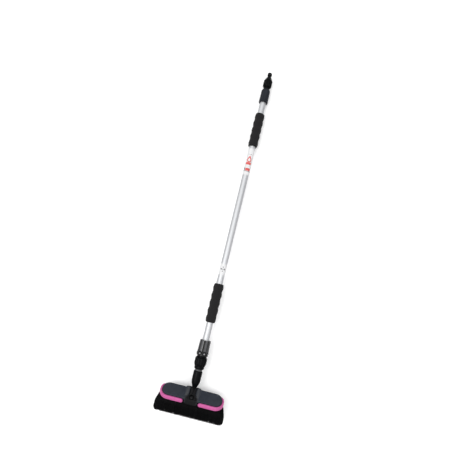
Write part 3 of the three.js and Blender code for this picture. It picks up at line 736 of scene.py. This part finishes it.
def lock_collar():
    """Eight convex panels, each ending at the lower rim in a ball with a sunk ring round it."""
    bottom, top, _ = span("lock_collar")
    rim = COLLAR_RIM_RADIUS
    tube_bore = TUBE_RADIUS + 0.4
    lip_bore = INNER_TUBE_RADIUS + 0.9
    ball_station = bottom + 8.2
    outline = [
        (lip_bore, bottom), (rim, bottom), (rim + 0.8, bottom + 1.8), (rim + 0.8, bottom + 6),
        (rim, bottom + 12), (COLLAR_TOP_RADIUS, top - 1), (COLLAR_TOP_RADIUS - 0.8, top), (tube_bore, top),
        (tube_bore, top - 5.5), (COLLAR_CAVITY, top - 5.5), (COLLAR_CAVITY, bottom + 4),
        (lip_bore, bottom + 4),
    ]

    def panels(angle, reach, station):
        if reach <= COLLAR_CAVITY + 0.3:
            return reach
        across = from_nearest(angle, COLLAR_PANELS, PANEL_PHASE) * reach
        half = pi * reach / COLLAR_PANELS
        above = window(station, ball_station + 2, top + 9, 3)
        crown = 0.5 * (across / half) ** 2
        groove = 1.6 * exp(-((half - abs(across)) / 0.9) ** 2)
        from_ball = hypot(across, station - ball_station)
        ball = sqrt(max(0.0, BALL_RADIUS ** 2 - from_ball ** 2)) - BALL_RADIUS + BALL_STANDS_OUT
        ring = 2.0 * exp(-((from_ball - BALL_RADIUS - 0.4) / 1.0) ** 2)
        sunk = reach - max((crown + groove) * above + 0.9 * (1 - above), ring)
        return max(sunk, reach - 1.0 + ball if from_ball < BALL_RADIUS else 0.0)

    shape = turned(refined(rounded(outline, 0.7), 0.6), 320, panels)
    look = collar_plastic("collar_plastic", ball_station)
    piece("lock_collar_shell", shape, look, "lock_collar", ["lock_collar"])


def coupling_body():
    bottom, top, flange = span("coupling_body")
    _, nut_top, _ = span("coupling_nut")
    socket = INNER_TUBE_RADIUS + GAP
    socket_bottom = top - 17.6
    thread = 12.0
    shoulder = nut_top + 0.6
    outline = [
        (SPIGOT_BORE, bottom), (thread, bottom), (thread, shoulder), (flange + 2.4, shoulder),
        (flange + 2.4, shoulder + 2), (flange + 0.9, shoulder + 2.8), (flange + 0.9, top), (socket, top),
        (socket, socket_bottom), (SPIGOT_BORE, socket_bottom),
    ]
    shape = turned(rounded(outline, 0.5), 96)
    even_normals(piece("coupling_socket", shape, BLACK, "inner_pole", ["coupling_body"]))


NUT_LOBES = 8


def coupling_nut():
    bottom, top, radius = span("coupling_nut")
    bore, lip_bore = 12.4, 7.9
    lip_top = bottom + 7.8
    outline = [
        (lip_bore, bottom), (radius - 4.6, bottom), (radius - 3.4, bottom + 1.5), (radius - 3, bottom + 7),
        (radius + 0.9, bottom + 16), (radius + 0.9, top - 1.4), (radius, top), (bore, top), (bore, lip_top),
        (lip_bore, lip_top),
    ]
    phase = PANEL_PHASE + pi / NUT_LOBES

    def lobes(angle, reach, station):
        if reach <= bore + 0.4:
            return reach
        between = valley(angle, reach, NUT_LOBES, phase, 2.5)
        lobe = 0.35 * (from_nearest(angle, NUT_LOBES, phase + pi / NUT_LOBES) * reach / 6) ** 2
        return reach - (1.6 * between + lobe) * window(station, bottom + 8, top + 8, 6)

    shape = turned(refined(rounded(outline, 0.9), 1.0), 256, lobes)
    even_normals(piece("coupling_nut_lobed", shape, BLACK, "coupling_nut", ["coupling_nut"]))


# ---- brush neck ----


def brush_neck():
    spigot_bottom, flange_top, radius = span("brush_neck")
    ring_bottom, ring_top, ring_radius = span("neck_ring")
    stem, spigot, bore = 7.4, 5.9, 3.8
    neck_top = ring_bottom - GAP
    neck_bottom = spigot_bottom + 7.5
    taper_top = neck_bottom + 23
    groove_top = neck_bottom - 4
    outline = [
        (bore, spigot_bottom), (spigot, spigot_bottom), (spigot, groove_top - 2.2),
        (spigot - 1, groove_top - 2.2), (spigot - 1, groove_top), (spigot, groove_top), (spigot, neck_bottom),
        (stem, neck_bottom),
        (stem + 0.2, neck_bottom + 3), (stem + 2.0, neck_bottom + 7), (radius - 1.1, taper_top - 8),
        (radius + 0.4, taper_top), (radius + 0.4, neck_top - 1.5), (radius - 0.6, neck_top), (stem, neck_top),
        (stem, flange_top - 2.8), (11.8, flange_top - 2.8), (11.8, flange_top), (bore, flange_top),
    ]
    shape = turned(rounded(outline, 1.6, 5), 128)
    even_normals(piece("bottle_neck", shape, BLACK, "brush_head", ["brush_neck"]))
    collar = tube(stem + GAP, ring_radius + 1.8, ring_bottom, ring_top, 0.5)
    even_normals(piece("neck_ring_pale", collar, RING, "brush_head", ["neck_ring"]))


# ---- moulded cover, from a signed distance field ----

COVER_WIDTH = 192.0
COVER_FRONT = -47.0
COVER_REAR = 3.5
COVER_CORNER = 22.0
BUMPER_THICKNESS = 7.0
SCREW_PLACE = (0.0, -38.0, -2.0)
SCREW_LEAN = radians(22)
SCREW_RECESS_RADIUS = 8.0
SCREW_HEAD_TOP = 2.1
CROSS_BLADE = Vector((1.0, 2.0, 5.0))
COVER_CELL = 0.75

# the outline of the brush neck, which the cover's socket follows
NECK_STATIONS = [-533.5, -525.3, -525.2, -522.0, -518.0, -510.0, -502.0, -472.0]
NECK_RADII = [5.9, 5.9, 7.4, 7.6, 9.4, 12.8, 14.3, 14.3]


def joined(first, second, soft):
    """Two fields joined, with a fillet."""
    mix = np.clip(0.5 + 0.5 * (second - first) / soft, 0, 1)
    return second * (1 - mix) + first * mix - soft * mix * (1 - mix)


def carved(body, tool, soft):
    """A field with another cut out of it, with a rounded edge."""
    return -joined(-body, tool, soft)


def slab_field(x, y, z, middle, half, corner, edge):
    """A slab with an outline rounded by corner, and with its edges rounded over by edge."""
    a = np.abs(x - middle[0]) - (half[0] - corner)
    b = np.abs(y - middle[1]) - (half[1] - corner)
    plan = np.hypot(np.maximum(a, 0), np.maximum(b, 0)) + np.minimum(np.maximum(a, b), 0) - corner + edge
    rise = np.abs(z - middle[2]) - half[2] + edge
    return np.hypot(np.maximum(plan, 0), np.maximum(rise, 0)) + np.minimum(np.maximum(plan, rise), 0) - edge


def bar_field(x, y, z, low, high, edge):
    """A box between two corners, with rounded edges."""
    middle = [(a + b) / 2 for a, b in zip(low, high)]
    half = [(b - a) / 2 for a, b in zip(low, high)]
    outside = [np.abs(value - m) - h + edge for value, m, h in zip((x, y, z), middle, half)]
    length = np.sqrt(sum(np.maximum(value, 0) ** 2 for value in outside))
    return length + np.minimum(np.maximum.reduce(outside), 0) - edge


def screw_axes(x, y, z):
    """Distance from the screw's axis, and height along it."""
    dy, dz = y - SCREW_PLACE[1], z - SCREW_PLACE[2]
    up = dz * cos(SCREW_LEAN) - dy * sin(SCREW_LEAN)
    side = dy * cos(SCREW_LEAN) + dz * sin(SCREW_LEAN)
    return np.hypot(x - SCREW_PLACE[0], side), up


def neck_axes(x, y, z):
    """Distance from the pole's axis, and station along it, of points in the head's frame."""
    station = y * sin(HEAD_LEAN) + z * cos(HEAD_LEAN) + HEAD_STATION
    side = y * cos(HEAD_LEAN) - z * sin(HEAD_LEAN)
    return np.hypot(x, side), station


def capped(radius, height, low, high):
    """A cylinder's field, from its radial excess and its height."""
    return np.maximum(radius, np.maximum(low - height, height - high))


def cover_field(x, y, z):
    """The top cover: plate, two cheeks, the spine under the neck, the screw turret and the tongues."""
    lowest, _ = head_box("top_cover")
    plate_low, plate_high = -8.0, 0.0
    front, rear = COVER_FRONT, COVER_REAR
    middle = (0, (front + rear) / 2, (plate_low + plate_high) / 2)
    half = (COVER_WIDTH / 2, (rear - front) / 2, (plate_high - plate_low) / 2)
    plate = slab_field(x, y, z, middle, half, COVER_CORNER, 2.0)
    dish = 0.5 * np.exp(-((np.abs(x) - 60) / 26) ** 2 - ((y - middle[1]) / 15) ** 2)
    body = plate + np.where(z > -3, dish, 0)
    for side in (-1, 1):
        cheek = bar_field(x * side, y, z + 0.2 * (np.abs(x) - 13), (10.5, -33, -6), (23.5, 5.5, 4.2), 2.2)
        body = joined(body, cheek, 2.2)
    crest = np.hypot(x, z + 5.0) - 11.3
    spine = capped(crest, -y, -6.0, 36.0)
    body = joined(body, np.maximum(spine, -z - 6), 2.4)
    off_axis, up = screw_axes(x, y, z)
    turret = np.maximum(capped(off_axis - SCREW_RECESS_RADIUS - 3.6, up, -6, 5.6), -z - 7)
    body = joined(body, turret, 2.6)
    lower = lowest[2] + 0.2
    apron_middle, apron_half = (0, (lower + 1.4) / 2, front - 2.45), (20.5, (1.4 - lower) / 2, 3.15)
    apron = slab_field(x, z, y, apron_middle, apron_half, 8.0, 2.2)
    tail = bar_field(x, y, z, (-20.5, rear - 0.7, lower), (20.5, rear + 6.2, -0.4), 2.4)
    body = joined(joined(body, apron, 2.4), tail, 1.6)
    recess = capped(off_axis - SCREW_RECESS_RADIUS, up, -3.0, 30)
    body = carved(body, recess, 1.2)
    reach, station = neck_axes(x, y, z)
    neck = np.interp(station.ravel(), NECK_STATIONS, NECK_RADII).reshape(station.shape)
    return carved(body, capped(reach - neck - GAP, station, NECK_STATIONS[0], NECK_STATIONS[-1] + 40), 0.6)


def block(grid, corner):
    """A grid without its last layers, or without its first along the axes where corner is 1."""
    return grid[tuple(slice(first, first + size - 1) for first, size in zip(corner, grid.shape))]


def surface_net(values, low, cell):
    """Quads round the zero level of a grid of signed distances, with a vertex in each cell it crosses."""
    inside = values < 0
    corners = list(product((0, 1), repeat=3))
    filled = sum(block(inside, corner).astype(np.int8) for corner in corners)
    crossed = (filled > 0) & (filled < 8)
    index = np.full(crossed.shape, -1)
    index[crossed] = np.arange(crossed.sum())
    total = np.zeros((*crossed.shape, 3))
    count = np.zeros(crossed.shape)
    for axis, start in product(range(3), corners):
        if start[axis] == 1:
            continue
        step = np.eye(3, dtype=int)[axis]
        a, b = block(values, start), block(values, start + step)
        cut = (a < 0) != (b < 0)
        share = np.where(cut, a / np.where(cut, a - b, 1), 0)
        total += cut[..., None] * (start + share[..., None] * step)
        count += cut
    vertices = np.array(low) + cell * (np.argwhere(crossed) + total[crossed] / count[crossed][:, None])
    faces = []
    for axis in range(3):
        first, second = np.delete(np.eye(3, dtype=int), axis, 0)
        places = np.argwhere(np.diff(inside, axis=axis))
        ring = [places - first - second, places - second, places, places - first]
        faces += np.stack([index[tuple(near.T)] for near in ring], axis=1).tolist()
    return vertices, faces


def moulded(field, low, high, cell):
    """A mesh of a field's surface, with its vertices drawn onto the surface itself."""
    axes = [np.arange(a, b + cell, cell) for a, b in zip(low, high)]
    vertices, faces = surface_net(field(*np.meshgrid(*axes, indexing="ij")), low, cell)
    reach = 0.05
    for _ in range(2):
        value = field(*vertices.T)
        slope = np.stack([field(*(vertices + step).T) - value for step in reach * np.eye(3)], axis=1) / reach
        steep = np.maximum((slope ** 2).sum(1), 0.25)
        step = slope * (value / steep)[:, None]
        vertices = vertices - np.clip(step, -cell / 2, cell / 2)
    return vertices, faces


def top_cover():
    low, high = head_box("top_cover")
    margin = 1.5
    shape = moulded(cover_field, low - margin, high + margin, COVER_CELL)
    piece("top_cover_moulding", shape, COVER, "brush_head", ["top_cover"], HEAD)


def hub_screw():
    """A pan-head screw with a cross recess, on its leaning axis in the cover."""
    shank = [(0.001, -12), (2, -11), (2, -0.6)]
    shape = turned([*shank, (4.6, -0.6), (4.6, 0.6), (3.6, 1.8), (1.8, 2.1), (0.001, 2.15)], 40)
    tilt = Matrix.Rotation(pi / 2 + SCREW_LEAN, 4, "X")
    to_top = Matrix.Translation((0, SCREW_HEAD_TOP * MM, 0))
    place = HEAD @ Matrix.Translation(Vector(SCREW_PLACE) * MM) @ tilt
    made = even_normals(piece(
        "hub_screw_pan_head", shape, DARK_STEEL, "brush_head", ["hub_screw"], place,
    ))
    for turn in (0, pi / 2):
        bpy.ops.mesh.primitive_cube_add(size=1)
        blade = bpy.context.object
        blade.matrix_world = place @ Matrix.Rotation(turn, 4, "Y") @ to_top
        blade.scale = CROSS_BLADE * MM
        bpy.context.view_layer.update()
        cut = made.modifiers.new("cross", "BOOLEAN")
        cut.object = blade
        apply_modifiers(made)
        bpy.data.objects.remove(blade)


def apply_modifiers(made):
    """Turns an object's modifiers into its mesh."""
    evaluated = made.evaluated_get(bpy.context.evaluated_depsgraph_get())
    mesh = bpy.data.meshes.new_from_object(evaluated)
    made.modifiers.clear()
    made.data = mesh


# ---- bumpers ----

BUMPER_GAP = 48.0
BUMPER_REAR_ANGLE = 56
BUMPER_BULLET = 7.0
BUMPER_TAPER = 20.0


def bumper_path(offset):
    """Points and outward directions round the right half of the cover, from the front gap to the rear
    corner."""
    side, radius, start = COVER_WIDTH / 2 - COVER_CORNER, COVER_CORNER + offset, BUMPER_GAP / 2
    steps = 48
    path = [((start + (side - start) * i / steps, COVER_FRONT - offset), (0, -1)) for i in range(steps)]
    path += arc(side, COVER_FRONT + COVER_CORNER, radius, -90, 0, 2)
    return path + arc(side, COVER_REAR - COVER_CORNER, radius, 0, BUMPER_REAR_ANGLE, 2)


def bumper(side, node, name):
    """A rubber strip round one half of the cover: flat against it, round outside, with bullet ends."""
    low, high = head_box(node)
    middle = (low[2] + high[2]) / 2
    half_height = (high[2] - low[2]) / 2
    half_width = BUMPER_THICKNESS / 2 - GAP / 2
    path = bumper_path(BUMPER_THICKNESS / 2 + GAP / 2)
    places = [Vector(point) for point, _ in path]
    walked = [0.0]
    for before, after in zip(places, places[1:]):
        walked.append(walked[-1] + (after - before).length)
    sides = 28
    vertices = []
    for (point, direction), along in zip(path, walked):
        front = 1 - min(along / BUMPER_BULLET, 1)
        rear = 1 - min((walked[-1] - along) / BUMPER_TAPER, 1)
        size = sqrt(max(1 - max(front, rear) ** 2, 0.0004))
        inward = half_width * (1 - size) if rear > 0 else 0.0
        for i in range(sides):
            angle = 2 * pi * i / sides
            across, up = cos(angle), sin(angle)
            power = 0.62 if across > 0 else 0.4
            out = half_width * copysign(abs(across) ** power, across) * size - inward
            rise = half_height * copysign(abs(up) ** 0.72, up) * size
            x, y = point[0] + direction[0] * out, point[1] + direction[1] * out
            vertices.append((side * x, y, middle + rise))
    piece(name, (vertices, lidded(len(path), sides)), PINK, "brush_head", [node], place=HEAD)


# ---- bristles ----

BRISTLE_WIDTH = 233.0
BRISTLE_REAR_WIDTH = 204.0
BRISTLE_DEPTH = 68.0
ROOT_WIDTH = 188.0
ROOT_DEPTH = 40.5
FLARE_HEIGHT = 22.0
BRISTLE_LENGTH = 45.0
FLOOR_CLEARANCE = 0.3


def spread_at(below_root):
    """How far the bristles have spread at a depth below their roots, from 0 to 1."""
    left = 1 - min(max(below_root / FLARE_HEIGHT, 0), 1)
    return 0.84 * sqrt(1 - left * left) + 0.16 * below_root / BRISTLE_LENGTH


def bristle_point(u, v, z, root, middle):
    """The place of a bristle at a height. u runs from -1 to 1 across the brush, and v from front to rear."""
    share = spread_at(root - z)
    width = BRISTLE_WIDTH + (BRISTLE_REAR_WIDTH - BRISTLE_WIDTH) * (v + 1) / 2
    half_width = (ROOT_WIDTH + (width - ROOT_WIDTH) * share) / 2
    half_depth = (ROOT_DEPTH + (BRISTLE_DEPTH - ROOT_DEPTH) * share) / 2
    return Vector((u * half_width, middle + v * half_depth, z))


def edge_of_brush(inset, spacing):
    """Places (u, v) round the brush at its tips, at a distance inside its edge."""
    corner = 18.0
    half_width, half_depth = BRISTLE_WIDTH / 2 - inset, BRISTLE_DEPTH / 2 - inset
    radius = corner - inset * 0.5
    outline = []
    for right, rear, first in ((1, -1, -90), (1, 1, 0), (-1, 1, 90), (-1, -1, 180)):
        x, y = right * (half_width - radius), rear * (half_depth - radius)
        outline += [Vector(point) for point, _ in arc(x, y, radius, first, first + 90, 6)]
    places = refined(outline, spacing)
    return [(place.x / (BRISTLE_WIDTH / 2), place.y / (BRISTLE_DEPTH / 2)) for place in places]


def strand(line, thickness, sides, tone, gain):
    """A tapered fibre along a line of points, and the tone of each vertex, which grows towards the tip."""
    vertices, tones = [], []
    last = len(line) - 1
    for i, point in enumerate(line):
        along = (line[min(i + 1, last)] - line[max(i - 1, 0)]).normalized()
        side = along.cross(Vector((0.31, 0.95, 0.05))).normalized()
        other = along.cross(side)
        size = thickness * (1 - 0.45 * (i / last) ** 2)
        for k in range(sides):
            angle = 2 * pi * k / sides
            vertices.append(point + (side * cos(angle) + other * sin(angle)) * size)
            tones.append(tone + gain * (i / last) ** 3)
    return (vertices, lidded(len(line), sides)), tones


def tip_height(u, lowest):
    """Bristles are cut to a straight line that turns up at both ends of the brush."""
    beyond = max(0.0, abs(u) * BRISTLE_WIDTH / 2 - 110)
    return lowest + 0.08 * beyond ** 2


def above_ground(point):
    """The point, raised where it would sink into the floor."""
    world = HEAD @ (point * MM)
    if world.z >= FLOOR_CLEARANCE * MM:
        return point
    world.z = FLOOR_CLEARANCE * MM
    return HEAD.inverted() @ world / MM


def fibre_piece(name, strands, nodes=()):
    """One object from many fibres, each with its own tone."""
    vertices, faces, tones = [], [], []
    for (points, quads), tone in strands:
        base = len(vertices)
        vertices += [above_ground(point) for point in points]
        faces += [tuple(base + i for i in quad) for quad in quads]
        tones += tone
    mesh = bpy.data.meshes.new(name)
    mesh.from_pydata([tuple(v * MM) for v in vertices], [], faces)
    attribute = mesh.attributes.new("tone", "FLOAT", "POINT")
    attribute.data.foreach_set("value", np.array(tones, np.float32))
    handed_over(name, mesh, BRISTLE, "brush_head", nodes, HEAD)


def leaning(draw):
    """A random bend across the brush."""
    return Vector((draw.uniform(-1, 1), draw.uniform(-1, 1), 0))


def bristles():
    """Whole fibres in the outer rows, tips inside them, and a core behind both."""
    low, high = head_box("bristles")
    root, tip = high[2], low[2]
    middle = (low[1] + high[1]) / 2
    draw = random.Random(11)
    outer, inner = [], []
    rows = 7
    for layer in range(4):
        for u, v in edge_of_brush(0.5 + 1.3 * layer, 1.1):
            u += draw.uniform(-0.005, 0.005)
            v += draw.uniform(-0.015, 0.015)
            end = tip_height(u, tip) + draw.random() ** 2 * 0.7
            bend = leaning(draw) * 0.7
            line = []
            for row in range(rows):
                share = row / (rows - 1)
                height = root + (end - root) * share
                line.append(bristle_point(u, v, height, root, middle) + bend * share ** 2)
            tone = draw.uniform(0.1, 0.6)
            outer.append(strand(line, draw.uniform(0.65, 0.95), 4, tone, 0.35))
    fibre_piece("bristle_rows", outer, ["bristles"])
    spacing = 2.0
    half_width, half_depth = BRISTLE_WIDTH / 2 - 6, BRISTLE_DEPTH / 2 - 6
    for i, j in product(range(int(2 * half_width / spacing)), range(int(2 * half_depth / spacing))):
        u = (-half_width + (i + draw.random()) * spacing) / (BRISTLE_WIDTH / 2)
        v = (-half_depth + (j + draw.random()) * spacing) / (BRISTLE_DEPTH / 2)
        end = tip_height(u, tip) + draw.random()
        bend = leaning(draw) * 0.6
        heights = enumerate((end + 14, end + 6, end))
        line = [bristle_point(u, v, height, root, middle) + bend * k for k, height in heights]
        tone = draw.uniform(0.1, 0.6)
        inner.append(strand(line, draw.uniform(0.6, 0.9), 3, tone, 0.3))
    fibre_piece("bristle_tips", inner)
    bristle_core(root, tip + 7, middle)


def bristle_core(root, bottom, middle):
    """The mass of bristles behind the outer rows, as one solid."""
    places = edge_of_brush(5.5, 3.0)
    levels = [root - 0.2, root - 1, root - 3, root - 6, root - 10, root - 16, root - 24, bottom + 1.5, bottom]
    vertices = []
    for level in levels:
        inset = 0.97 if level == bottom else 1.0
        vertices += [bristle_point(u * inset, v * inset, level, root, middle) for u, v in places]
    shape = vertices, lidded(len(levels), len(places))
    fibre_piece("bristle_core", [(shape, [0.15] * len(vertices))])


# ---- CAD nodes that keep their shape ----


def dress_cad_nodes():
    """Hidden and inner pieces keep their CAD shape and get their material."""
    looks = {
        BLACK: ["brush_block"],
        STEEL: ["block_screw_1", "block_screw_2", "block_screw_3", "block_screw_4"],
        NATURAL: ["collar_ferrule", "guide_bush", "collet", "piston"],
        SEAL: ["adaptor_washer", "spigot_o_ring", "piston_seal", "tube_end_seal", "neck_seal", "hub_o_ring",
               "chamber_seal"],
    }
    for look, nodes in looks.items():
        for node in nodes:
            mesh = frame["nodes"][node].data
            mesh.materials.clear()
            mesh.materials.append(look)


# ---- studio ----

FOCAL_LENGTH = 30.13
CAMERA_DISTANCE = 1.323
CAMERA_TILT = radians(10)
CAMERA_ROLL = radians(13.65)
CAMERA_YAW = radians(2.2)
CAMERA_SHIFT_LEFT = 0.0079


def camera():
    """Looks down on the middle of the pole from a little to its right, with the pole leaning right."""
    beside = POLE.to_3x3() @ Matrix.Rotation(CAMERA_YAW, 3, "Y")
    aim = beside @ Matrix.Rotation(CAMERA_TILT, 3, "X") @ Matrix.Rotation(CAMERA_ROLL, 3, "Z")
    lens = bpy.data.cameras.new("camera")
    lens.lens = FOCAL_LENGTH
    lens.sensor_width = 36.0
    lens.clip_start = 0.01
    seen_from = linked("camera", lens)
    matrix = aim.to_4x4()
    matrix.translation = POLE.translation + aim.col[2] * CAMERA_DISTANCE - beside.col[0] * CAMERA_SHIFT_LEFT
    seen_from.matrix_world = matrix
    bpy.context.scene.camera = seen_from


def lamp(name, kind, power, towards):
    """A light that shines in a direction."""
    light = bpy.data.lights.new(name, kind)
    light.energy = power
    made = linked(name, light)
    made.rotation_mode = "QUATERNION"
    made.rotation_quaternion = Vector(towards).to_track_quat("-Z", "Y")
    return made


def soft_box(name, place, target, size, power):
    box = lamp(name, "AREA", power, Vector(target) - Vector(place))
    box.data.shape = "RECTANGLE"
    box.data.size, box.data.size_y = size
    box.location = place
    box.visible_camera = False


FLOOR_HALF_SIDE = 40.0
FLOOR_DROP = 0.1
PAPER_BACKLIGHT = 0.2
SKY_SOFTNESS = radians(100)
ROOM_STRENGTH = 0.72


def floor():
    """White paper, lit from below, which the piece sees greyer than the camera does, as if flagged off."""
    ends = (-FLOOR_HALF_SIDE, FLOOR_HALF_SIDE)
    mesh = bpy.data.meshes.new("floor")
    mesh.from_pydata([(x, y, 0) for x in ends for y in ends], [], [(0, 2, 3, 1)])
    look = Look("floor_paper", Specular_IOR_Level=0.1)
    paper = look.tones(look.noise(3), (0.3, (0.90, 0.90, 0.90)), (0.7, (0.92, 0.92, 0.92)))
    ray = look.node("ShaderNodeLightPath")
    tint = look.mixed(ray["Is Glossy Ray"], paper, (0.60, 0.60, 0.61))
    backlight = look.math("MULTIPLY", ray["Is Camera Ray"], PAPER_BACKLIGHT)
    look.put(look.shader.inputs["Emission Strength"], backlight)
    mesh.materials.append(look.finish(tint, 0.9, look.bump(look.noise(300), 0.05, 0.1)))
    made = linked("floor", mesh)
    made.location.z = -FLOOR_DROP * MM


def surroundings():
    """A pale room that is bright overhead and greyer towards the horizon."""
    world = bpy.data.worlds.new("studio")
    bpy.context.scene.world = world
    world.use_nodes = True
    room = Nodes(world.node_tree)
    _, _, height = room.coordinates("Generated")
    walls = room.tones(height, (0.0, (0.42, 0.42, 0.43)), (0.75, (1, 1, 1)))
    ray = room.node("ShaderNodeLightPath")
    flagged = room.mixed(ray["Is Glossy Ray"], walls, (0.62, 0.62, 0.635))
    background = room.tree.nodes["Background"]
    room.put(background.inputs["Color"], room.mixed(ray["Is Camera Ray"], flagged, (1.4, 1.4, 1.4)))
    background.inputs["Strength"].default_value = ROOM_STRENGTH


def studio():
    """Even light from above with two weak soft boxes, and tones that are kept as they are."""
    floor()
    surroundings()
    lamp("sky_panel", "SUN", 1.5, (0.3, -0.1, -1.0)).data.angle = SKY_SOFTNESS
    soft_box("key", (-1.0, -0.6, 2.2), (0, -0.1, 0), (0.4, 1.4), 12)
    soft_box("fill", (1.5, -0.2, 1.9), (0, -0.2, 0), (0.3, 1.4), 6)
    bpy.context.scene.view_settings.view_transform = "Standard"


camera()
studio()
hose_adaptor()
nose_seal()
end_spigot()
end_sleeve()
tubes()
foam_grip("upper_grip", "upper_foam_grip", 3)
foam_grip("lower_grip", "lower_foam_grip", 5)
labels()
lock_collar()
coupling_body()
coupling_nut()
brush_neck()
top_cover()
hub_screw()
bumper(-1, "left_bumper", "left_bumper_strip")
bumper(1, "right_bumper", "right_bumper_strip")
bristles()
dress_cad_nodes()
